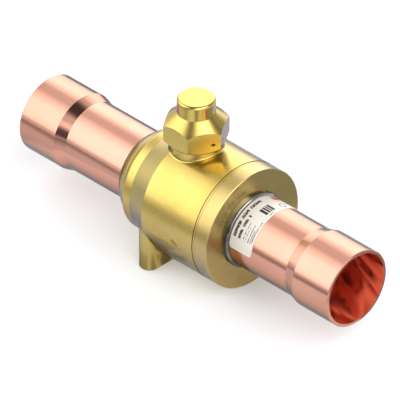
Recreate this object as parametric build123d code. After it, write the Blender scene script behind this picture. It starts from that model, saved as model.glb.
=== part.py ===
from build123d import *
import os
from math import asin, atan2, cos, degrees, hypot, pi, radians, sin, sqrt

# Shut-off ball valve for refrigerant lines: a forged brass body with two brazed copper
# connectors, a chromed ball between two seats, a quarter-turn spindle and a screwed seal cap.
# The frame: the pipe runs along X, the spindle stands on +Z, and the origin is where they cross.
# The inlet is on the -X side. Sizes are millimetres.

# Pipe, connectors and sockets
pipe_d = 41.3
tube_wall = 1.84
socket_play = 0.08
socket_depth = 26.2
swage_length = 7.1
inlet_reach = 113.3
outlet_reach = 120.8
rim_round = 0.5

# Body forging
body_d = 70.32
body_wall = 5.96
cone_drop = 4.96
cone_length = 13.9
ring_length = 4.8
ring_crown_length = 3.6
ring_crown_fullness = 0.72
ring_drop = 2.8
groove_width = 0.6
groove_depth = 0.5
collar_length = 8.1
collar_end_d = 44.0
collar_crown = 0.55
inlet_stop_wall = 2.1
inlet_tube_depth = 9.8
braze_play = 0.05
mouth_chamfer = 0.9

# Joint between the body and the end closure
closure_stop_wall = 3.1
closure_tube_depth = 13.9
closure_rim = 9.1
closure_pilot_gap = 0.3
seam_width = 1.9
seam_depth = 0.25
seam_land_step = 3.66
pilot_play = 0.05
face_chamfer = 0.3

# Ball and seats
ball_bore_d = 37.2
chamber_play = 0.7
seat_outer_d = 48.9
seat_width = 5.64
seat_lip = 2.04
seat_heel = 3.831
seat_play = 0.05
ball_seat_gap = 0.12
seat_ring_cord = 2.0
slot_width = 6.1
slot_depth = 4.3
vent_d = 2.0

# Mounting foot under the body
foot_setback = 0.9
foot_width = 11.2
foot_proud = 0.15
foot_hole_inset = 7.16
foot_round = 1.2
foot_blend = 2.0
foot_thread_core_d = 5.0
foot_thread_depth = 12.0

# Spindle tower on top of the body
tower_d = 29.8
tower_rise = 2.24
tower_blend = 0.9
thread_d = 24.0
thread_relief_d = 21.8
thread_relief_height = 1.4
thread_height = 13.1
thread_chamfer = 0.9
gland_bore_d = 18.8
gland_depth = 5.0

# Spindle
spindle_d = 12.0
spindle_play = 0.05
collar_d = 18.0
collar_height = 2.8
collar_lift = 1.1
collar_pocket_play = 0.3
thrust_thickness = 0.8
square_across = 8.0
square_rise = 9.0
square_chamfer = 0.8
square_play = 0.05
index_width = 1.2
index_depth = 0.8
tang_length = 14.0
tang_play = 0.05
packing_cord = 2.0
packing_groove_width = 2.4
packing_play = 0.05
lower_packing_lift = 3.4
upper_packing_drop = 4.7

# Travel stop
stop_thickness = 1.5
stop_lift = 0.5
stop_washer_d = 18.0
stop_notch_r = 6.45
stop_pin_d = 2.5
stop_pin_circle_r = 7.9
stop_pin_azimuth = 135.0
stop_pin_depth = 3.5
stop_pin_play = 0.05
quarter_turn = 90.0
stop_slack = 1.0
clip_thickness = 1.0
clip_outer_d = 15.0
clip_groove_d = 9.8
clip_play = 0.05
clip_gap_angle = 50.0

# Seal cap
cap_across = 32.0
gasket_thickness = 1.0
gasket_inset = 0.5
cap_skirt_d = 30.4
cap_corner_low = 1.9
cap_shoulder_height = 17.8
cap_corner_height = 10.85
knob_d = 21.2
cap_height = 26.6
knob_round = 1.6
cap_thread_play = 0.15
cap_thread_reach = 1.0
cap_recess_d = 16.8
cap_roof = 3.5
wire_hole_d = 1.5
wire_hole_x = 16.26
wire_hole_height = 5.2

# Braze, label and flow arrow
braze_out_d = 44.0
braze_length = 2.9
braze_flat = 1.3
braze_fullness = 0.18
label_gap = 0.3
label_width = 16.3
label_thickness = 0.14
label_low_angle = 1.3
label_high_angle = 150.0
label_corner = 2.0
arrow_start_x = 0.2
arrow_tip_x = 19.4
arrow_angle = -9.0
arrow_line = 0.9
arrow_relief = 0.35
arrow_barb = 4.4
arrow_barb_spread = 28.0

# Margins of the modelling itself: how far cutters reach past a face, and what counts as the same place
cut_margin = 1.0
same_place = 0.01

# Sizes that follow from the ones above
neck_r = pipe_d / 2
passage_r = neck_r - tube_wall
socket_in_r = neck_r + socket_play
socket_out_r = socket_in_r + tube_wall
tube_bore_r = neck_r + braze_play
body_r = body_d / 2
chamber_r = body_r - body_wall
seam_land_r = body_r - seam_land_step
foot_bottom = -(body_r + foot_proud)
foot_hole_pitch = body_d - 2 * foot_hole_inset

ball_r = chamber_r - chamber_play
ball_bore_r = ball_bore_d / 2
seat_r = seat_outer_d / 2
seat_bore_r = seat_r - seat_width
pocket_r = seat_r + seat_play
seat_face_r = ball_r + ball_seat_gap
seat_front_x = sqrt(seat_face_r ** 2 - (seat_r - seat_lip) ** 2)
seat_inner_x = sqrt(seat_face_r ** 2 - seat_bore_r ** 2)
seat_back_x = seat_inner_x + seat_heel
inlet_tube_stop = seat_back_x + inlet_stop_wall
closure_tube_stop = seat_back_x + closure_stop_wall
closure_face_x = closure_tube_stop + closure_tube_depth
closure_start_x = closure_face_x - closure_rim
closure_pilot_x = seat_front_x - closure_pilot_gap
seam_x = closure_start_x - seam_width
slot_floor = ball_r - slot_depth

inlet_end = inlet_tube_stop + inlet_tube_depth
collar_root_x = inlet_end - collar_length
ring_crown_x = collar_root_x - ring_crown_length
cone_start_x = ring_crown_x - ring_length
cone_end_x = cone_start_x - cone_length
shoulder_r = body_r - cone_drop
collar_root_r = shoulder_r - ring_drop
foot_x = -(cone_end_x + foot_setback)

tower_top = body_r + tower_rise
thread_top = tower_top + thread_height
gland_floor = thread_top - gland_depth
spindle_r = spindle_d / 2
spindle_bore_r = spindle_r + spindle_play
collar_bottom = ball_r + collar_lift
collar_top = collar_bottom + collar_height
collar_pocket_r = collar_d / 2 + collar_pocket_play
collar_pocket_top = collar_top + thrust_thickness
packing_heights = (collar_pocket_top + lower_packing_lift, gland_floor - upper_packing_drop)
stop_bottom = gland_floor + stop_lift
stop_top = stop_bottom + stop_thickness
clip_bottom = stop_top + clip_play
square_top = thread_top + square_rise

cap_bottom = tower_top + gasket_thickness
cap_corner_high = cap_bottom + cap_corner_height
cap_shoulder_top = cap_bottom + cap_shoulder_height
cap_top = cap_bottom + cap_height
wire_hole_z = cap_bottom + wire_hole_height
cap_bore_r = thread_d / 2 + cap_thread_play
cap_bore_top = thread_top + cap_thread_reach
cap_corner_r = cap_across / sqrt(3)
knob_r = knob_d / 2

label_start_x = closure_face_x + braze_length + label_gap
label_end_x = label_start_x + label_width


def turned_x(edges):
    """Solid turned about the pipe axis, from edges whose x is along the pipe and y the radius."""
    return revolve(make_face(Curve() + edges), Axis.X, 360)


def turned_z(edges):
    """Solid turned about the spindle axis, from edges whose x is the radius and y the height."""
    return revolve(Plane.XZ * make_face(Curve() + edges), Axis.Z, 360)


def lines(*points):
    """Straight edges through the points in turn."""
    return [Line(a, b) for a, b in zip(points[:-1], points[1:])]


def ring_x(x0, x1, r_in, r_out):
    """Plain ring about the pipe axis."""
    return turned_x(lines((x0, r_in), (x1, r_in), (x1, r_out), (x0, r_out), (x0, r_in)))


def ring_z(z0, z1, r_in, r_out):
    """Plain ring about the spindle axis."""
    return turned_z(lines((r_in, z0), (r_out, z0), (r_out, z1), (r_in, z1), (r_in, z0)))


def rod_z(x, y, z0, z1, r):
    """Upright round rod or drill."""
    return Pos(x, y, z0) * extrude(Circle(r), z1 - z0)


def cord_ring(centre_r, cord_r):
    """Rubber ring about the Z axis, lying in the XY plane."""
    return revolve(Plane.XZ * Pos(centre_r, 0) * Circle(cord_r), Axis.Z, 360)


def arc_about_origin(r, start, end):
    """Arc of radius r about the origin between two angles."""
    return ThreePointArc(*[(r * cos(a), r * sin(a)) for a in (start, (start + end) / 2, end)])


def rounded_corner(x, y, r):
    """Quarter arc in place of the profile corner at (x, y), on the corner's low side."""
    low = r * (1 - cos(pi / 4))
    return ThreePointArc((x - r, y), (x - low, y - low), (x, y - r))


def connector(stop_x, reach):
    """Copper stub with its outer end swaged through a short cone into a socket, along +X."""
    step_x = reach - socket_depth
    swage_x = step_x - swage_length
    outside = lines((stop_x, passage_r), (stop_x, neck_r), (swage_x, neck_r), (step_x, socket_out_r),
                    (reach - rim_round, socket_out_r))
    inside = lines((reach, socket_out_r - rim_round), (reach, socket_in_r), (step_x, socket_in_r),
                   (swage_x, passage_r), (stop_x, passage_r))
    return turned_x(outside + [rounded_corner(reach, socket_out_r, rim_round)] + inside)


def body_outline():
    """Outside of the forging, from the seam round the cone and the two rings to the inlet mouth."""
    groove_in = -(collar_root_x - groove_width)
    ring_r0 = collar_root_r + groove_depth
    edges = lines((seam_x, 0), (seam_x, body_r), (-cone_end_x, body_r), (-cone_start_x, shoulder_r),
                  (-ring_crown_x, shoulder_r))
    lift = (shoulder_r - ring_r0) * ring_crown_fullness
    edges += [ThreePointArc((-ring_crown_x, shoulder_r),
                            ((groove_in - ring_crown_x) / 2, ring_r0 + lift),
                            (groove_in, ring_r0))]
    edges += lines((groove_in, ring_r0),
                   (-(collar_root_x - groove_width / 2), collar_root_r - groove_depth),
                   (-collar_root_x, collar_root_r))
    middle = (-(inlet_end + collar_root_x) / 2, (collar_end_d / 2 + collar_root_r) / 2 + collar_crown)
    edges += [ThreePointArc((-collar_root_x, collar_root_r), middle, (-inlet_end, collar_end_d / 2))]
    return edges + lines((-inlet_end, collar_end_d / 2), (-inlet_end, 0), (seam_x, 0))


def foot():
    """Cross bar under the body with rounded ends, its underside just proud of the body's lowest line."""
    bar = extrude(SlotCenterToCenter(foot_hole_pitch, foot_width, rotation=90), -foot_bottom)
    bar = fillet(bar.faces().sort_by(Axis.Z)[0].edges(), foot_round)
    return Pos(foot_x, 0, foot_bottom) * bar


def flow_arrow():
    """Raised arrow on the body's front that points along the flow."""
    bar_depth = 2 * arrow_relief + cut_margin
    centre_r = body_r + arrow_relief - bar_depth / 2
    length = arrow_tip_x - arrow_start_x
    shaft = Pos(arrow_start_x + length / 2, 0, 0) * Box(length, bar_depth, arrow_line)
    marks = [shaft]
    for side in (-1, 1):
        barb = Pos(-arrow_barb / 2, 0, 0) * Box(arrow_barb, bar_depth, arrow_line)
        marks.append(Pos(arrow_tip_x, 0, 0) * Rot(0, side * arrow_barb_spread, 0) * barb)
    placed = [Rot(-arrow_angle, 0, 0) * Pos(0, -centre_r, 0) * m for m in marks]
    return placed[0] + placed[1] + placed[2]


def chamber():
    """Space inside the body: inlet seat pocket, round end of the ball's chamber and straight bore."""
    pocket_x = -sqrt(chamber_r ** 2 - pocket_r ** 2)
    dome = arc_about_origin(chamber_r, atan2(pocket_r, pocket_x), pi / 2)
    return turned_x([dome] + lines((0, chamber_r), (seam_x, chamber_r), (seam_x, 0), (-seat_back_x, 0),
                                   (-seat_back_x, pocket_r), (pocket_x, pocket_r)))


def is_tower_joint(edge):
    """True for an edge that runs round the tower where it leaves the barrel."""
    radii = [hypot(p.X, p.Y) for p in (edge @ t for t in (0, 0.25, 0.75, 1))]
    on_tower = all(abs(r - tower_d / 2) < same_place for r in radii)
    return on_tower and tower_top / 2 < edge.center().Z < tower_top - tower_blend


def is_foot_joint(edge):
    """True for an edge that runs along the foot's side where it meets the barrel."""
    if edge.geom_type == GeomType.LINE:
        return False
    places = [edge @ t for t in (0, 0.5, 1)]
    reaches = [hypot(p.X - foot_x, max(abs(p.Y) - foot_hole_pitch / 2, 0)) for p in places]
    on_side = all(abs(r - foot_width / 2) < same_place for r in reaches)
    return on_side and edge.center().Z < 0


def valve_body():
    """Forging: round barrel, inlet collar, spindle tower and mounting foot."""
    tower = rod_z(0, 0, 0, tower_top, tower_d / 2)
    barrel = turned_x(body_outline())
    outside = barrel + tower
    joint = outside.edges().filter_by(is_tower_joint)
    outside = fillet(joint, tower_blend) + foot()
    outside = fillet(outside.edges().filter_by(is_foot_joint), foot_blend)
    outside += turned_z(lines((0, 0), (thread_d / 2, 0), (thread_d / 2, thread_top - thread_chamfer),
                              (thread_d / 2 - thread_chamfer, thread_top), (0, thread_top), (0, 0)))
    outside -= ring_z(tower_top, tower_top + thread_relief_height, thread_relief_d / 2, thread_d)
    outside += flow_arrow()
    mouth = turned_x(lines((-inlet_end, 0), (-inlet_end, tube_bore_r + mouth_chamfer),
                           (-inlet_end + mouth_chamfer, tube_bore_r), (-inlet_tube_stop, tube_bore_r),
                           (-inlet_tube_stop, passage_r), (-seat_back_x, passage_r), (-seat_back_x, 0),
                           (-inlet_end, 0)))
    solid = outside - chamber() - mouth
    solid -= rod_z(0, 0, 0, collar_pocket_top, collar_pocket_r)
    solid -= rod_z(0, 0, 0, thread_top, spindle_bore_r)
    solid -= rod_z(0, 0, gland_floor, thread_top, gland_bore_d / 2)
    pin_x, pin_y = stop_pin_place()
    solid -= rod_z(pin_x, pin_y, gland_floor - stop_pin_depth, gland_floor, stop_pin_d / 2 + stop_pin_play)
    for side in (-1, 1):
        solid -= rod_z(foot_x, side * foot_hole_pitch / 2, foot_bottom, foot_bottom + foot_thread_depth,
                       foot_thread_core_d / 2)
    return solid


def end_closure():
    """Turned closure: outlet face, weld land, pilot into the body and the outlet seat's pocket."""
    pilot_r = chamber_r - pilot_play
    outside = lines((closure_pilot_x, 0), (closure_pilot_x, pilot_r), (seam_x, pilot_r),
                    (seam_x, seam_land_r), (closure_start_x, seam_land_r),
                    (closure_start_x, body_r), (closure_face_x - face_chamfer, body_r),
                    (closure_face_x, body_r - face_chamfer), (closure_face_x, 0), (closure_pilot_x, 0))
    solid = turned_x(outside) - ring_x(closure_pilot_x, seat_back_x, 0, pocket_r)
    solid -= ring_x(closure_pilot_x, closure_face_x, 0, passage_r)
    return solid - ring_x(closure_tube_stop, closure_face_x, 0, tube_bore_r)


def seat():
    """Outlet seat: hollow spherical face for the ball and a rebate for its backing ring."""
    rebate = seat_ring_cord + seat_play
    front_r = seat_r - seat_lip
    face = arc_about_origin(seat_face_r, atan2(front_r, seat_front_x), atan2(seat_bore_r, seat_inner_x))
    return turned_x([face] + lines((seat_inner_x, seat_bore_r), (seat_back_x, seat_bore_r),
                                   (seat_back_x, seat_r - rebate), (seat_back_x - rebate, seat_r - rebate),
                                   (seat_back_x - rebate, seat_r), (seat_front_x, seat_r),
                                   (seat_front_x, front_r)))


def seat_backing_ring():
    """Rubber ring that presses the outlet seat against the ball."""
    cord_r = seat_ring_cord / 2
    return Pos(seat_back_x - cord_r, 0, 0) * Rot(0, 90, 0) * cord_ring(seat_r - cord_r, cord_r)


def ball():
    """Ball with its bore along the pipe at rest, a cross slot for the spindle and a vent into the bore."""
    half = sqrt(ball_r ** 2 - ball_bore_r ** 2)
    edge_angle = atan2(ball_bore_r, half)
    solid = turned_x([arc_about_origin(ball_r, edge_angle, pi - edge_angle)]
                     + lines((half, ball_bore_r), (-half, ball_bore_r)))
    slot_height = slot_depth + cut_margin
    solid -= Pos(0, 0, slot_floor + slot_height / 2) * Box(slot_width, 2 * ball_r, slot_height)
    return solid - rod_z(0, 0, 0, ball_r, vent_d / 2)


def packing_groove(z):
    """Groove in the spindle for one packing ring."""
    return ring_z(z - packing_groove_width / 2, z + packing_groove_width / 2, spindle_r - packing_cord,
                  spindle_r + cut_margin)


def spindle():
    """Blow-out-proof spindle: tang, collar, shaft with two packing grooves and a square head."""
    shaft = turned_z(lines((0, collar_bottom), (collar_d / 2, collar_bottom), (collar_d / 2, collar_top),
                           (spindle_r, collar_top), (spindle_r, stop_bottom), (0, stop_bottom),
                           (0, collar_bottom)))
    for z in packing_heights:
        shaft -= packing_groove(z)
    tang_width = slot_width - 2 * tang_play
    tang_bottom = slot_floor + tang_play
    tang_middle = (tang_bottom + collar_bottom) / 2
    tang = Pos(0, 0, tang_middle) * Box(tang_width, tang_length, collar_bottom - tang_bottom)
    square = Rectangle(square_across, square_across)
    head = Pos(0, 0, stop_bottom) * extrude(square, square_top - stop_bottom)
    head = chamfer(head.faces().sort_by(Axis.Z)[-1].edges(), square_chamfer)
    head -= ring_z(clip_bottom, clip_bottom + clip_thickness + clip_play, clip_groove_d / 2, spindle_d)
    head -= Pos(0, 0, square_top) * Box(square_across * 2, index_width, 2 * index_depth)
    return shaft + tang + head


def packing_ring(z):
    """Rubber ring in a spindle groove, held just clear of the tower's bore."""
    cord_r = packing_cord / 2
    return Pos(0, 0, z) * cord_ring(spindle_bore_r - packing_play - cord_r, cord_r)


def thrust_washer():
    """Sliding washer between the spindle's collar and the body."""
    return ring_z(collar_top, collar_pocket_top, spindle_r + spindle_play, collar_d / 2)


def stop_pin_place():
    """Centre of the stop pin."""
    a = radians(stop_pin_azimuth)
    return stop_pin_circle_r * cos(a), stop_pin_circle_r * sin(a)


def stop_washer():
    """Washer on the spindle's square, notched for a quarter turn against the stop pin."""
    half_pin = degrees(asin((stop_pin_d / 2 + stop_pin_play) / stop_pin_circle_r)) + stop_slack
    sweep = quarter_turn + 2 * half_pin
    disc = rod_z(0, 0, stop_bottom, stop_top, stop_washer_d / 2)
    hole = square_across + 2 * square_play
    disc -= Pos(0, 0, stop_bottom) * extrude(Rectangle(hole, hole), stop_thickness)
    reach = stop_washer_d
    start = stop_pin_azimuth - half_pin
    rays = [(reach * cos(radians(start + sweep * i / 4)), reach * sin(radians(start + sweep * i / 4)))
            for i in range(5)]
    wedge = extrude(make_face(Curve() + lines((0, 0), *rays, (0, 0))), stop_thickness)
    notch = Pos(0, 0, stop_bottom) * wedge - rod_z(0, 0, stop_bottom, stop_top, stop_notch_r)
    return disc - notch


def stop_pin():
    """Dowel in the tower that limits the spindle to a quarter turn."""
    x, y = stop_pin_place()
    return rod_z(x, y, gland_floor - stop_pin_depth, stop_top, stop_pin_d / 2)


def retaining_clip():
    """Open spring clip in the square's groove that keeps the stop washer and the spindle in place."""
    inner_r = clip_groove_d / 2 + clip_play
    ring = ring_z(clip_bottom, clip_bottom + clip_thickness, inner_r, clip_outer_d / 2)
    half = radians(clip_gap_angle / 2)
    reach = clip_outer_d
    gap = Pos(0, 0, clip_bottom) * extrude(
        make_face(Curve() + lines((0, 0), (reach * cos(half), -reach * sin(half)),
                                  (reach * cos(half), reach * sin(half)), (0, 0))), clip_thickness)
    return ring - gap


def seal_cap():
    """Hexagonal cap nut with a round knob, a blind thread bore and a seal-wire hole through one corner."""
    slope = (cap_shoulder_top - cap_corner_high) / (cap_corner_r - knob_r)
    wide_r = cap_corner_r + cut_margin
    rise = cap_corner_low / (cap_corner_r - cap_skirt_d / 2)
    outline = lines((0, cap_bottom), (cap_skirt_d / 2, cap_bottom),
                    (wide_r, cap_bottom + rise * (wide_r - cap_skirt_d / 2)),
                    (wide_r, cap_shoulder_top - slope * (wide_r - knob_r)), (knob_r, cap_shoulder_top),
                    (knob_r, cap_top - knob_round))
    outline += [rounded_corner(knob_r, cap_top, knob_round)]
    outline += lines((knob_r - knob_round, cap_top), (0, cap_top), (0, cap_bottom))
    hexagon = Pos(0, 0, cap_bottom) * extrude(
        RegularPolygon(cap_across / 2, 6, major_radius=False), cap_top - cap_bottom)
    solid = hexagon & turned_z(outline)
    solid -= rod_z(0, 0, cap_bottom, cap_bore_top, cap_bore_r)
    solid -= rod_z(0, 0, cap_bottom, cap_top - cap_roof, cap_recess_d / 2)
    wire_hole = Pos(wire_hole_x, 0, wire_hole_z) * Rot(90, 0, 0) * Cylinder(wire_hole_d / 2, cap_across)
    return solid - wire_hole


def cap_gasket():
    """Flat gasket between the tower's shoulder and the cap."""
    return ring_z(tower_top, cap_bottom, cap_bore_r, tower_d / 2 - gasket_inset)


def outlet_braze():
    """Silver braze bead standing round the outlet connector at the closure's face."""
    x0, x1, r0, r1 = closure_face_x, closure_face_x + braze_length, neck_r, braze_out_d / 2
    flat_x = x0 + braze_flat
    bulge = ((flat_x + x1) / 2 + (x1 - flat_x) * braze_fullness, (r0 + r1) / 2 + (r1 - r0) * braze_fullness)
    return turned_x(lines((x1, r0), (x0, r0), (x0, r1), (flat_x, r1))
                    + [ThreePointArc((flat_x, r1), bulge, (x1, r0))])


def inlet_braze():
    """Silver braze that fills the chamfer at the inlet collar's mouth."""
    x0, x1 = -inlet_end, -inlet_end + mouth_chamfer
    return turned_x(lines((x0, neck_r), (x1, neck_r), (x1, tube_bore_r), (x0, tube_bore_r + mouth_chamfer),
                          (x0, neck_r)))


def closure_weld():
    """Weld bead that fills the seam between the body and the closure."""
    return ring_x(seam_x, closure_start_x, seam_land_r, body_r - seam_depth)


def label():
    """Thin label wrapped over the outlet neck, with rounded corners."""
    width = label_end_x - label_start_x
    middle_x = (label_start_x + label_end_x) / 2
    shell = ring_x(label_start_x, label_end_x, neck_r, neck_r + label_thickness)
    flaps = []
    for side, angle in ((-1, label_low_angle), (1, 180 - label_high_angle)):
        low_z = neck_r * sin(radians(angle))
        height = 2 * (neck_r + cut_margin - low_z)
        window = RectangleRounded(width, height, label_corner)
        depth = neck_r + label_thickness + cut_margin
        block = Pos(middle_x, side * depth / 2, low_z + height / 2) * Rot(90, 0, 0) * extrude(
            window, depth / 2, both=True)
        flaps.append(shell & block)
    return flaps[0] + flaps[1]


def on_inlet_side(solid):
    """The outlet's solid turned half a turn about the spindle axis."""
    return Rot(0, 0, 180) * solid


parts = {
    "valve_body": valve_body(),
    "end_closure": end_closure(),
    "closure_weld": closure_weld(),
    "inlet_connector": on_inlet_side(connector(inlet_tube_stop, inlet_reach)),
    "outlet_connector": connector(closure_tube_stop, outlet_reach),
    "inlet_braze": inlet_braze(),
    "outlet_braze": outlet_braze(),
    "ball": ball(),
    "inlet_seat": on_inlet_side(seat()),
    "outlet_seat": seat(),
    "inlet_seat_ring": on_inlet_side(seat_backing_ring()),
    "outlet_seat_ring": seat_backing_ring(),
    "spindle": spindle(),
    "thrust_washer": thrust_washer(),
    "lower_packing_ring": packing_ring(packing_heights[0]),
    "upper_packing_ring": packing_ring(packing_heights[1]),
    "stop_washer": stop_washer(),
    "stop_pin": stop_pin(),
    "retaining_clip": retaining_clip(),
    "seal_cap": seal_cap(),
    "cap_gasket": cap_gasket(),
    "label": label(),
}

os.makedirs("parts", exist_ok=True)
for name, solid in parts.items():
    export_step(solid, f"parts/{name}.step")
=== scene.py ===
import math

import bpy
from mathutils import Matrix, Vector

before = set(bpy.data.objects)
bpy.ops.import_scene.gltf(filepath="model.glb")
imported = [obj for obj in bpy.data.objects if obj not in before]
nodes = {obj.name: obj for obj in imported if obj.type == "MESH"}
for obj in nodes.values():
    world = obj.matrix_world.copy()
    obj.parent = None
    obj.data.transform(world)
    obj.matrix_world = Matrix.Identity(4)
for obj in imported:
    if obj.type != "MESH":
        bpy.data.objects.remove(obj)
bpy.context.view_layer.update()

MM = 0.001
MM_PER_M = 1000.0

# Camera: a long lens from 45 degrees round and 35 degrees up, with lengths in metres
VIEW_BACK = Vector((0.5788, -0.5788, 0.5743))
VIEW_TARGET = Vector((2.0, 0.75, -1.6)) * MM
VIEW_DISTANCE = 6.86
VIEW_WIDTH = 215.4 * MM
VIEW_CLIP = (0.1, 12.0)
SENSOR_MM = 36.0

# Places on the valve, in millimetres: distances along the pipe and radii round it
FLOOR_Z = -35.33
CONE_X = (-20.8, -6.9)
CONE_R = (30.2, 35.16)
WELD_TOES = (31.75, 32.95)
INLET_SWAGE = (80.0, 87.1)
OUTLET_SWAGE = (87.5, 94.6)
SWAGE_MIDDLE_R = (19.73, 21.65)
LABEL_R = 20.79

# Threads: lowest and highest place, inner and outer radius
THREAD_PITCH = 1.5
TOWER_THREAD = (38.9, 50.4, 11.0, 12.1)
CAP_THREAD = (38.6, 51.4, 12.1, 12.3)

# Tint of each metal's reflections at a grazing angle
COPPER_EDGE = (0.28, 0.48, 0.55, 1.0)
BRASS_EDGE = (0.38, 0.48, 0.84, 1.0)
CAP_EDGE = (0.42, 0.50, 0.86, 1.0)
STEEL_EDGE = (0.45, 0.46, 0.48, 1.0)

# Colours of the metals
BRASS = (0.59, 0.445, 0.125)
BRASS_DARK = (0.55, 0.405, 0.108)
# Painted shade: the end closure's brass is a darker, greyer copy of the body's, in place of the end
# face's darker reflection
END_BRASS_SHADED = (0.53, 0.405, 0.155)
END_BRASS_SHADED_DARK = (0.49, 0.37, 0.135)
WELD = (0.57, 0.42, 0.14)
WELD_DARK = (0.50, 0.37, 0.12)
OXIDE = (0.10, 0.055, 0.012)
# Painted shade: darker, greyer brass over the body's cone, in place of the cone's darker reflection
CONE_PAINTED_SHADE = (0.455, 0.356, 0.128)
SILVER = (0.42, 0.415, 0.41)
SILVER_DARK = (0.14, 0.14, 0.14)
CHROME = (0.60, 0.61, 0.62)
CHROME_DARK = (0.57, 0.58, 0.59)
STEEL = (0.56, 0.56, 0.55)
STEEL_DARK = (0.50, 0.50, 0.49)
COPPER = (0.635, 0.325, 0.24)
COPPER_DARK = (0.60, 0.297, 0.214)
# Painted light inside the copper: a dark shade, a red middle and a bright glow in place of light
# bounced along the bore
INSIDE_PAINTED_SHADE = (0.12, 0.008, 0.004)
INSIDE_PAINTED_RED = (0.46, 0.035, 0.015)
INSIDE_PAINTED_GLOW = (1.0, 0.18, 0.09)

# Colours of the plain surfaces
SEAT_PLASTIC = (0.84, 0.83, 0.78)
RUBBER = (0.022, 0.022, 0.024)
ZINC = (0.66, 0.67, 0.69)
SPRING = (0.07, 0.07, 0.075)
GASKET = (0.50, 0.47, 0.40)

# Part of a noise value's range that a change of tone or gloss takes up
NOISE_RANGE = (0.3, 0.7)
PATCH_RANGE = (0.35, 0.7)
COPPER_RANGE = (0.38, 0.66)
GLOW_RANGE = (0.44, 0.64)
SHADE_RANGE = (0.36, 0.56)

# Softness of edges on the body in millimetres, and how far off its cone the painted shade fades out
THREAD_EDGE = 0.05
THREAD_SIDE_EDGE = 0.02
TOE_EDGE = 0.12
CONE_EDGE = 0.15
CONE_FADE = (0.1, 0.4)

# Bare metal: spread of its gloss, and heights of turning marks and threads in steps of relief
GLOSS_SPREAD = 0.025
MARK_SCALE = 2600.0
MARK_HEIGHT = 0.6
MARK_GLOSS = 0.05
THREAD_HEIGHT = 60.0
RELIEF = 0.00001

# Drawn copper: streaks along the tube and how they show
STREAK_STRETCH = (14.0, 900.0, 900.0)
STREAK_SHARE = 0.35
STREAK_GLOSS = 0.06
STREAK_RELIEF = 0.000006
COPPER_ROUGHNESS = 0.14

# Inside of the copper: its depth in from the wall's middle, and run and dullness of its painted
# streaks of glow and shade
INSIDE_DEPTH = (-0.86, -0.7)
GLOW_STREAK_REACH = 0.030
GLOW_STREAK_TURN = 1.35
GLOW_STREAK_TWIST = 0.022
GLOW_STREAK_DRAW = 6.6
INSIDE_SCATTER = 0.8
INSIDE_DULLNESS = 0.12

# Plain surfaces: their fine grain, and how much darker their patches are
SPECK_SCALE = 1500.0
SPECK_GLOSS = 0.08
SPECK_RELIEF = 0.000008
PLAIN_SHADE = 0.9

# Label: film and inks
LABEL_ROUGHNESS = 0.42
PAPER = (0.75, 0.725, 0.67)
PAPER_SHADE = 0.96
FIBRE_SCALE = 1400.0
FIBRE_RELIEF = 0.000004
INK = (0.012, 0.011, 0.011)
GREY_INK = (0.16, 0.20, 0.19)
RED_INK = (0.62, 0.06, 0.05)

# Label: softness of the ink's edges in millimetres and in degrees, and how the dashes are drawn
INK_EDGE = 0.06
INK_EDGE_TURN = 0.2
DASH_SOFTNESS = 0.03
DASH_ACROSS = 1.3
DASH_DRAW = 7.0

# Label: rows of dashes as middle along the pipe, height, first and last angle, rate, ink cover
ROWS = (
    (48.1, 1.9, 22.0, 47.0, 0.85, 0.60),
    (48.1, 1.9, 51.0, 67.0, 0.85, 0.60),
    (48.1, 1.9, 71.0, 92.0, 0.85, 0.60),
    (51.5, 1.8, 22.0, 37.0, 0.85, 0.60),
    (51.5, 1.8, 40.5, 54.0, 0.85, 0.60),
    (51.5, 1.8, 58.0, 61.0, 0.85, 0.90),
    (54.5, 0.5, 23.0, 52.0, 0.7, 0.50),
    (56.0, 0.5, 23.0, 46.0, 0.7, 0.50),
    (57.9, 0.6, 22.0, 51.0, 0.7, 0.54),
    (59.3, 0.6, 23.0, 44.0, 0.7, 0.54),
    (60.5, 0.6, 24.0, 60.0, 0.7, 0.54),
    (60.4, 0.5, 76.0, 88.0, 0.7, 0.54),
)

# Label: bars and block as first and last place along the pipe, first and last angle
BARS = (
    (53.2, 59.0, 73.8, 78.6),
    (53.2, 59.0, 80.0, 83.4),
    (53.2, 59.0, 84.7, 87.0),
    (53.2, 59.0, 88.2, 92.4),
)
RED_BLOCK = (47.0, 51.3, 113.0, 129.0)

# Label: the ring's place along the pipe, angle, radius, and width inside and outside that radius
RING_X = 57.9
RING_TURN = 111.0
RING_R = 2.0
RING_WIDTH = (0.55, 0.25)

# Sky: level on the inlet's side and on the far side, and where along X one passes into the other
SKY_LEVEL = 1.12
FAR_SIDE_LEVEL = 0.5
SIDE_BLEND = (-0.35, 0.25)
SKY_COLOUR = (1.0, 0.99, 0.98, 1.0)

# Horizon: where it ends above the floor, and its level behind the valve
HORIZON_END = (0.022, 0.035)
BACK_HORIZON = 2.2
BACK_BLEND = (0.2, 0.6)

# Soft panels: azimuth, elevation, inner and outer angle in degrees, and the light added
PANELS = (
    ((-131.0, 26.0, 17.0, 46.0), 1.45),
    ((129.0, 15.0, 12.0, 40.0), 2.1),
    ((-5.0, 47.0, 16.0, 36.0), 3.0),
    ((-38.0, 21.0, 10.0, 24.0), 1.9),
)

# Dark gaps between the panels: the same angles, and the share of light taken out
GAPS = (
    ((-81.0, 50.0, 6.0, 15.0), 0.9),
    ((46.0, 36.0, 4.0, 14.0), 0.75),
    ((-150.0, 86.0, 14.0, 31.0), 0.93),
    ((-97.0, 6.0, 16.0, 27.0), 0.94),
)

# Floor: its own pale colour, and a glow that the camera and the metal's reflections both see
FLOOR_RADIUS = 0.8
FLOOR_SIDES = 96
FLOOR_COLOUR = (0.655, 0.675, 0.70, 1.0)
FLOOR_GLOW = 0.27

# Foot: middle of its front end, and where the cards round it begin, in millimetres
FOOT_END = (-7.8, -28.0)
FAN_R = 5.8
FAN_STEPS = 8

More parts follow.
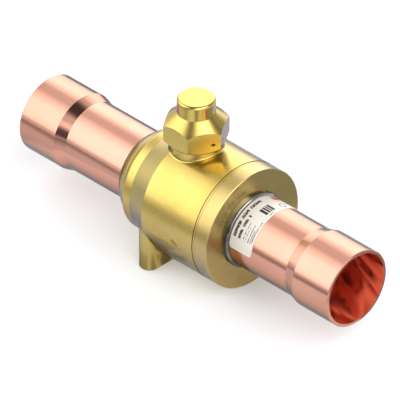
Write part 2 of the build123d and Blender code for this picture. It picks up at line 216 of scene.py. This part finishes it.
# Cards: height of each above the one before, gloss, and shares of red, green and blue in the grey
CARD_LIFT = 0.2
CARD_ROUGHNESS = 0.9
CARD_RED = 0.94
CARD_GREEN = 0.98
COOL = 1.3
NEUTRAL = 1.04

# Inputs and output of the Mix node that belong to colours
MIX_A = 6
MIX_B = 7
MIX_RESULT = 2


def put(tree, value, socket):
    """Links a socket to an input, or sets the input to a plain value."""
    if isinstance(value, bpy.types.NodeSocket):
        tree.links.new(value, socket)
    else:
        socket.default_value = value


def output(tree, kind, name=0, inputs=None, **settings):
    """Output socket of a new shader node, with its settings made and its inputs set or linked."""
    node = tree.nodes.new(kind)
    for key, value in settings.items():
        setattr(node, key, value)
    for key, value in (inputs or {}).items():
        put(tree, value, node.inputs[key])
    return node.outputs[name]


def calc(tree, operation, *values):
    """Result of a Math node."""
    return output(tree, "ShaderNodeMath", inputs=dict(enumerate(values)), operation=operation)


def total(tree, *values):
    """Sum of several values."""
    result = values[0]
    for value in values[1:]:
        result = calc(tree, "ADD", result, value)
    return result


def product(tree, *values):
    """Product of several values."""
    result = values[0]
    for value in values[1:]:
        result = calc(tree, "MULTIPLY", result, value)
    return result


def in_mm(tree, value):
    """A length in metres, in millimetres."""
    return product(tree, value, MM_PER_M)


def diagonal(tree, a, b):
    """Length of the line with parts a and b."""
    return calc(tree, "SQRT", total(tree, product(tree, a, a), product(tree, b, b)))


def ramp(tree, value, low, high, to_low=0.0, to_high=1.0, smooth=True):
    """Value carried from one range to another, clamped."""
    inputs = {"Value": value, "From Min": low, "From Max": high, "To Min": to_low,
              "To Max": to_high}
    kind = "SMOOTHSTEP" if smooth else "LINEAR"
    return output(tree, "ShaderNodeMapRange", inputs=inputs, interpolation_type=kind)


def band(tree, value, low, high, edge):
    """1 between low and high, 0 outside, with soft edges."""
    up = ramp(tree, value, low - edge, low + edge)
    down = ramp(tree, value, high - edge, high + edge, 1.0, 0.0)
    return product(tree, up, down)


def colour_mix(tree, factor, a, b):
    """Colour between two others."""
    node = tree.nodes.new("ShaderNodeMix")
    node.data_type = "RGBA"
    put(tree, factor, node.inputs["Factor"])
    for key, value in ((MIX_A, a), (MIX_B, b)):
        put(tree, (*value, 1.0) if isinstance(value, tuple) else value, node.inputs[key])
    return node.outputs[MIX_RESULT]


def noise(tree, vector, scale, detail=2.0, roughness=0.5, distortion=0.0):
    """Noise value round 0.5."""
    inputs = {"Vector": vector, "Scale": scale, "Detail": detail, "Roughness": roughness,
              "Distortion": distortion}
    return output(tree, "ShaderNodeTexNoise", "Fac", inputs)


def place(tree, *parts):
    """Vector put together from up to three parts."""
    return output(tree, "ShaderNodeCombineXYZ", inputs=dict(enumerate(parts)))


def axes(tree, vector):
    """The three parts of a vector."""
    node = tree.nodes.new("ShaderNodeSeparateXYZ")
    put(tree, vector, node.inputs[0])
    return node.outputs


def bump(tree, height, distance):
    """Normal bent by a height."""
    return output(tree, "ShaderNodeBump", inputs={"Height": height, "Distance": distance})


def object_space(tree):
    """Coordinates that stay with the piece, in metres."""
    return output(tree, "ShaderNodeTexCoord", "Object")


def material(name, **inputs):
    """New material, its node tree and its Principled shader."""
    new = bpy.data.materials.new(name)
    new.use_nodes = True
    shader = new.node_tree.nodes["Principled BSDF"]
    for key, value in inputs.items():
        shader.inputs[key.replace("_", " ")].default_value = value
    return new, new.node_tree, shader


def turned_marks(tree, where, axis):
    """Fine lines round the X or the Z axis, on faces along the axis and on faces across it."""
    x, y, z = axes(tree, where)
    along, radius = (x, diagonal(tree, y, z)) if axis == "X" else (z, diagonal(tree, x, y))
    return noise(tree, place(tree, along, radius), MARK_SCALE, detail=3.0, roughness=0.6)


def thread_profile(tree, where, low, high, inner, outer):
    """Right-hand screw thread about the spindle axis, only between two heights and two radii."""
    x, y, z = axes(tree, where)
    radius = in_mm(tree, diagonal(tree, x, y))
    height = in_mm(tree, z)
    turns = calc(tree, "DIVIDE", calc(tree, "ARCTAN2", y, x), math.tau)
    phase = calc(tree, "SUBTRACT", calc(tree, "DIVIDE", height, THREAD_PITCH), turns)
    wave = calc(tree, "PINGPONG", product(tree, phase, 2.0), 1.0)
    along = band(tree, height, low, high, THREAD_EDGE)
    return product(tree, wave, along, band(tree, radius, inner, outer, THREAD_SIDE_EDGE))


def on_cone(tree, where):
    """1 on the body's cone, 0 on the barrel, the foot and the tower."""
    x, y, z = axes(tree, where)
    x_mm = in_mm(tree, x)
    cone = ramp(tree, x_mm, *CONE_X, *CONE_R, smooth=False)
    outside = calc(tree, "SUBTRACT", in_mm(tree, diagonal(tree, y, z)), cone)
    close = ramp(tree, outside, *CONE_FADE, 1.0, 0.0)
    return product(tree, band(tree, x_mm, *CONE_X, CONE_EDGE), close)


def metal(name, colour, dark, roughness, edge=STEEL_EDGE, marks=None, grain=0.0, grain_scale=900.0,
          thread=None, toes=None, cone_shade=None):
    """Bare metal: patches of tone, uneven gloss, turning marks, grain, thread, weld toes, and a
    darker brass painted over the body's cone as painted shade.
    """
    new, tree, shader = material(name, Metallic=1.0, Specular_Tint=edge)
    where = object_space(tree)
    patches = noise(tree, where, scale=28.0, detail=3.0, roughness=0.55)
    paint = colour_mix(tree, ramp(tree, patches, *PATCH_RANGE), colour, dark)
    if toes:
        between = band(tree, in_mm(tree, axes(tree, where)[0]), *toes, TOE_EDGE)
        paint = colour_mix(tree, between, OXIDE, paint)
    # Painted shade: the body's cone gets a darker, greyer brass in place of its darker reflection
    if cone_shade:
        paint = colour_mix(tree, on_cone(tree, where), paint, cone_shade)
    put(tree, paint, shader.inputs["Base Color"])
    clouds = ramp(tree, noise(tree, where, scale=60.0), *NOISE_RANGE, -1.0, 1.0)
    gloss = product(tree, clouds, GLOSS_SPREAD)
    heights = []
    if marks:
        lines = turned_marks(tree, where, marks)
        heights.append(product(tree, lines, MARK_HEIGHT))
        gloss = total(tree, gloss, product(tree, lines, MARK_GLOSS))
    if grain:
        heights.append(product(tree, noise(tree, where, grain_scale), grain))
    if thread:
        heights.append(product(tree, thread_profile(tree, where, *thread), THREAD_HEIGHT))
    put(tree, total(tree, gloss, roughness), shader.inputs["Roughness"])
    if heights:
        put(tree, bump(tree, total(tree, *heights), RELIEF), shader.inputs["Normal"])
    return new


def painted_inside_light(tree, reach, turn):
    """Colour of a tube's inside: a painted red glow with painted bright and dark streaks run along
    it, in place of light bounced along the bore.
    """
    across = total(tree, product(tree, turn, GLOW_STREAK_TURN), product(tree, reach, GLOW_STREAK_TWIST))
    spot = place(tree, product(tree, reach, GLOW_STREAK_REACH), across, GLOW_STREAK_DRAW)
    flow = noise(tree, spot, scale=1.3, detail=1.0, roughness=0.4, distortion=0.9)
    # Painted glow and painted shade inside the tube, in streaks run along it
    glow_streaks = ramp(tree, flow, *GLOW_RANGE, smooth=False)
    shade = ramp(tree, noise(tree, spot, scale=3.1, detail=1.0), *SHADE_RANGE)
    shaded_red = colour_mix(tree, shade, INSIDE_PAINTED_SHADE, INSIDE_PAINTED_RED)
    return colour_mix(tree, glow_streaks, shaded_red, INSIDE_PAINTED_GLOW)


def drawn_copper(name, swage):
    """Bright drawn copper tube: faint streaks, patches of tone, and a duller inside painted with a
    red glow and streaks of light and shade.
    """
    new, tree, shader = material(name, Metallic=1.0, Specular_Tint=COPPER_EDGE)
    where = object_space(tree)
    along = output(tree, "ShaderNodeMapping", inputs={"Vector": where, "Scale": STREAK_STRETCH})
    streaks = noise(tree, along, scale=1.0, detail=3.0, roughness=0.6)
    patches = noise(tree, where, scale=22.0, detail=3.0, roughness=0.6)
    from_streaks = product(tree, streaks, STREAK_SHARE)
    both = total(tree, from_streaks, product(tree, patches, 1.0 - STREAK_SHARE))
    outside = colour_mix(tree, ramp(tree, both, *COPPER_RANGE), COPPER, COPPER_DARK)
    x, y, z = axes(tree, where)
    reach = in_mm(tree, calc(tree, "ABSOLUTE", x))
    wall = ramp(tree, reach, *swage, *SWAGE_MIDDLE_R, smooth=False)
    depth = calc(tree, "SUBTRACT", in_mm(tree, diagonal(tree, y, z)), wall)
    inside = ramp(tree, depth, *INSIDE_DEPTH, 1.0, 0.0)
    # Painted red glow with streaks of light and shade on the tube's inside
    inner = painted_inside_light(tree, reach, calc(tree, "ARCTAN2", z, y))
    put(tree, colour_mix(tree, inside, outside, inner), shader.inputs["Base Color"])
    bare = calc(tree, "SUBTRACT", 1.0, product(tree, inside, INSIDE_SCATTER))
    put(tree, bare, shader.inputs["Metallic"])
    gloss = total(tree, product(tree, streaks, STREAK_GLOSS), COPPER_ROUGHNESS)
    gloss = total(tree, gloss, product(tree, inside, INSIDE_DULLNESS))
    put(tree, gloss, shader.inputs["Roughness"])
    put(tree, bump(tree, streaks, STREAK_RELIEF), shader.inputs["Normal"])
    return new


def plain(name, colour, roughness, metallic=0.0):
    """Plain moulded, rubber or steel surface with a fine grain."""
    new, tree, shader = material(name, Metallic=metallic)
    where = object_space(tree)
    specks = noise(tree, where, SPECK_SCALE)
    clouds = ramp(tree, noise(tree, where, scale=45.0), *NOISE_RANGE)
    shaded = tuple(part * PLAIN_SHADE for part in colour)
    put(tree, colour_mix(tree, clouds, colour, shaded), shader.inputs["Base Color"])
    gloss = total(tree, product(tree, specks, SPECK_GLOSS), roughness - SPECK_GLOSS / 2)
    put(tree, gloss, shader.inputs["Roughness"])
    put(tree, bump(tree, specks, SPECK_RELIEF), shader.inputs["Normal"])
    return new


def printed_label(name):
    """Matt off-white film with rows of illegible dashes, four bars, a ring and a red block."""
    new, tree, shader = material(name, Roughness=LABEL_ROUGHNESS)
    where = object_space(tree)
    x, y, z = axes(tree, where)
    turn = calc(tree, "DEGREES", calc(tree, "ARCTAN2", z, product(tree, y, -1.0)))
    x_mm = in_mm(tree, x)

    def patch(start, end, first, last):
        """1 between two places along the pipe and two angles."""
        along = band(tree, x_mm, start, end, INK_EDGE)
        return product(tree, along, band(tree, turn, first, last, INK_EDGE_TURN))

    marks = [patch(*bar) for bar in BARS]
    for middle, height, first, last, rate, cover in ROWS:
        across = product(tree, x_mm, DASH_ACROSS)
        spot = place(tree, product(tree, turn, rate), across, middle * DASH_DRAW)
        specks = noise(tree, spot, scale=1.0, detail=1.0)
        bare = 1.0 - cover
        dashes = ramp(tree, specks, bare - DASH_SOFTNESS, bare + DASH_SOFTNESS)
        row = patch(middle - height / 2, middle + height / 2, first, last)
        marks.append(product(tree, row, dashes))
    ink = marks[0]
    for mark in marks[1:]:
        ink = calc(tree, "MAXIMUM", ink, mark)

    round_neck = product(tree, calc(tree, "SUBTRACT", turn, RING_TURN), math.radians(LABEL_R))
    along_neck = calc(tree, "SUBTRACT", x_mm, RING_X)
    from_middle = diagonal(tree, round_neck, along_neck)
    ring = band(tree, from_middle, RING_R - RING_WIDTH[0], RING_R + RING_WIDTH[1], INK_EDGE)
    fibres = noise(tree, where, FIBRE_SCALE, detail=3.0)
    shaded = tuple(part * PAPER_SHADE for part in PAPER)
    paper = colour_mix(tree, ramp(tree, fibres, *NOISE_RANGE), PAPER, shaded)
    inked = colour_mix(tree, ring, colour_mix(tree, ink, paper, INK), GREY_INK)
    put(tree, colour_mix(tree, patch(*RED_BLOCK), inked, RED_INK), shader.inputs["Base Color"])
    put(tree, bump(tree, fibres, FIBRE_RELIEF), shader.inputs["Normal"])
    return new


# Materials of the CAD nodes
brass_forged = metal("brass_forging", BRASS, BRASS_DARK, roughness=0.24, edge=BRASS_EDGE, marks="X",
                     grain=1.2, thread=TOWER_THREAD, cone_shade=CONE_PAINTED_SHADE)
# Painted shade: the end closure uses a darker copy of the brass
brass_turned_x = metal("brass_turned", END_BRASS_SHADED, END_BRASS_SHADED_DARK, roughness=0.25,
                       edge=BRASS_EDGE, marks="X")
brass_turned_z = metal("brass_turned_cap", BRASS, BRASS_DARK, roughness=0.20, edge=CAP_EDGE,
                       marks="Z", thread=CAP_THREAD)
brass_weld = metal("brass_weld", WELD, WELD_DARK, roughness=0.30, edge=BRASS_EDGE, marks="X",
                   grain=1.5, toes=WELD_TOES)
copper_in = drawn_copper("copper_inlet", INLET_SWAGE)
copper_out = drawn_copper("copper_outlet", OUTLET_SWAGE)
silver = metal("silver_braze", SILVER, SILVER_DARK, roughness=0.08, grain=22.0, grain_scale=150.0)
chrome = metal("chromed_ball", CHROME, CHROME_DARK, roughness=0.04)
seat_plastic = plain("seat_plastic", SEAT_PLASTIC, roughness=0.40)
rubber = plain("seal_rubber", RUBBER, roughness=0.62)
steel = metal("spindle_steel", STEEL, STEEL_DARK, roughness=0.24, marks="Z")
zinc = plain("zinc_steel", ZINC, roughness=0.32, metallic=1.0)
spring = plain("spring_steel", SPRING, roughness=0.38, metallic=1.0)
gasket = plain("gasket", GASKET, roughness=0.48)

finishes = {
    "valve_body": brass_forged,
    "end_closure": brass_turned_x,
    "closure_weld": brass_weld,
    "seal_cap": brass_turned_z,
    "inlet_connector": copper_in,
    "outlet_connector": copper_out,
    "inlet_braze": silver,
    "outlet_braze": silver,
    "ball": chrome,
    "inlet_seat": seat_plastic,
    "outlet_seat": seat_plastic,
    "thrust_washer": seat_plastic,
    "inlet_seat_ring": rubber,
    "outlet_seat_ring": rubber,
    "lower_packing_ring": rubber,
    "upper_packing_ring": rubber,
    "spindle": steel,
    "stop_pin": steel,
    "stop_washer": zinc,
    "retaining_clip": spring,
    "cap_gasket": gasket,
    "label": printed_label("label_film"),
}
for node_name, finish in finishes.items():
    for slot in nodes[node_name].material_slots:
        slot.material = finish


def studio_world():
    """Pale studio: four large soft panels, dark gaps between them and a white horizon."""
    world = bpy.data.worlds.new("studio")
    bpy.context.scene.world = world
    world.use_nodes = True
    tree = world.node_tree
    where = output(tree, "ShaderNodeTexCoord", "Generated")
    x, y, z = axes(tree, where)

    def lobe(azimuth, elevation, inner, outer):
        """1 within an angle of a direction, fading to 0."""
        round_z = math.radians(azimuth)
        up = math.radians(elevation)
        centre = (math.cos(round_z) * math.cos(up), math.sin(round_z) * math.cos(up), math.sin(up))
        near = output(tree, "ShaderNodeVectorMath", "Value", {0: where, 1: centre},
                      operation="DOT_PRODUCT")
        edge, core = math.cos(math.radians(outer)), math.cos(math.radians(inner))
        return ramp(tree, near, edge, core, smooth=False)

    side = ramp(tree, x, *SIDE_BLEND, SKY_LEVEL, FAR_SIDE_LEVEL)
    light = total(tree, side, *[product(tree, lobe(*angles), added) for angles, added in PANELS])
    for angles, share in GAPS:
        kept = calc(tree, "SUBTRACT", 1.0, product(tree, lobe(*angles), share))
        light = product(tree, light, kept)
    horizon = ramp(tree, z, *HORIZON_END, 1.0, 0.0)
    white = ramp(tree, y, *BACK_BLEND, 1.0, BACK_HORIZON)
    sky = product(tree, light, calc(tree, "SUBTRACT", 1.0, horizon))
    background = tree.nodes["Background"]
    put(tree, total(tree, sky, product(tree, white, horizon)), background.inputs["Strength"])
    background.inputs["Color"].default_value = SKY_COLOUR


def stage_piece(name, points):
    """New object in the scene, with one face through the points."""
    mesh = bpy.data.meshes.new(name)
    mesh.from_pydata(points, [], [range(len(points))])
    piece = bpy.data.objects.new(name, mesh)
    bpy.context.scene.collection.objects.link(piece)
    return piece


def studio_floor():
    """Round floor with the object's shadow on it."""
    turns = [math.tau * i / FLOOR_SIDES for i in range(FLOOR_SIDES)]
    points = [(FLOOR_RADIUS * math.cos(turn), FLOOR_RADIUS * math.sin(turn), 0.0) for turn in turns]
    floor = stage_piece("studio_floor", points)
    floor.location.z = FLOOR_Z * MM
    new, tree, shader = material("studio_floor")
    tree.nodes.remove(shader)
    rays = tree.nodes.new("ShaderNodeLightPath").outputs
    seen = calc(tree, "MAXIMUM", rays["Is Camera Ray"], rays["Is Glossy Ray"])
    seen = calc(tree, "MAXIMUM", seen, rays["Is Transmission Ray"])
    paint = output(tree, "ShaderNodeBsdfDiffuse", inputs={"Color": FLOOR_COLOUR})
    shine = output(tree, "ShaderNodeEmission", inputs={"Strength": product(tree, seen, FLOOR_GLOW)})
    both = output(tree, "ShaderNodeAddShader", inputs={0: paint, 1: shine})
    put(tree, both, tree.nodes["Material Output"].inputs["Surface"])
    floor.data.materials.append(new)


def fan(first, last, reach):
    """Corners of a part of a ring round the foot's front end, between two angles in degrees."""
    turns = [math.radians(first + (last - first) * i / FAN_STEPS) for i in range(FAN_STEPS + 1)]
    x, y = FOOT_END
    outer = [(x + reach * math.cos(turn), y + reach * math.sin(turn)) for turn in turns]
    inner = [(x + FAN_R * math.cos(turn), y + FAN_R * math.sin(turn)) for turn in turns]
    return outer + inner[::-1]


# Grey cards above the floor, seen only in reflections: grey, share of blue, corners in millimetres
CARDS = (
    (0.74, COOL, ((-55, -30), (26, -30), (20, -48), (6, -71), (-20, -112), (-50, -112),
                  (-75, -87), (-62, -71))),
    (0.44, COOL, fan(-150, -62, 20)),
    (0.44, COOL, fan(-34, 4, 18)),
    (0.50, COOL, fan(34, 60, 16)),
    (0.66, NEUTRAL, ((-420, 60), (-222, 60), (-112, -50), (-50, -112), (-420, -112))),
    (0.50, NEUTRAL, ((-420, -112), (-48, -112), (-18, -142), (-420, -142))),
    (0.24, NEUTRAL, ((-420, -142), (-18, -142), (176, -336), (-420, -336))),
    (0.10, NEUTRAL, ((-235, -336), (-40, -336), (-40, -1100), (-235, -1100))),
    (0.42, NEUTRAL, ((-142, -142), (-58, -142), (-58, -230), (-142, -230))),
    (0.12, NEUTRAL, ((86, -84), (170, -84), (170, -160), (86, -160))),
    (0.30, NEUTRAL, ((-420, 135), (-165, 135), (110, 410), (-420, 410))),
    (0.32, NEUTRAL, ((58, 98), (86, 14), (260, 14), (260, 260), (58, 260))),
)


def reflector_cards():
    """Grey cards that put the darker lines into the metal's reflections."""
    for i, (grey, blue, corners) in enumerate(CARDS):
        height = FLOOR_Z + CARD_LIFT * (1 + i)
        card = stage_piece(f"card_{i}", [(x * MM, y * MM, height * MM) for x, y in corners])
        colour = (grey * CARD_RED, grey * CARD_GREEN, grey * blue, 1.0)
        paint = material(f"card_{i}", Base_Color=colour, Roughness=CARD_ROUGHNESS)[0]
        card.data.materials.append(paint)
        card.visible_camera = False
        card.visible_diffuse = False
        card.visible_shadow = False


def camera():
    """Long-lens camera at the photograph's angle."""
    lens = bpy.data.cameras.new("camera")
    lens.sensor_width = SENSOR_MM
    lens.lens = SENSOR_MM * VIEW_DISTANCE / VIEW_WIDTH
    lens.clip_start, lens.clip_end = VIEW_CLIP
    holder = bpy.data.objects.new("camera", lens)
    bpy.context.scene.collection.objects.link(holder)
    back = VIEW_BACK.normalized()
    holder.location = VIEW_TARGET + back * VIEW_DISTANCE
    holder.rotation_mode = "QUATERNION"
    holder.rotation_quaternion = (-back).to_track_quat("-Z", "Y")
    bpy.context.scene.camera = holder


studio_world()
studio_floor()
reflector_cards()
camera()
bpy.context.scene.view_settings.view_transform = "Standard"
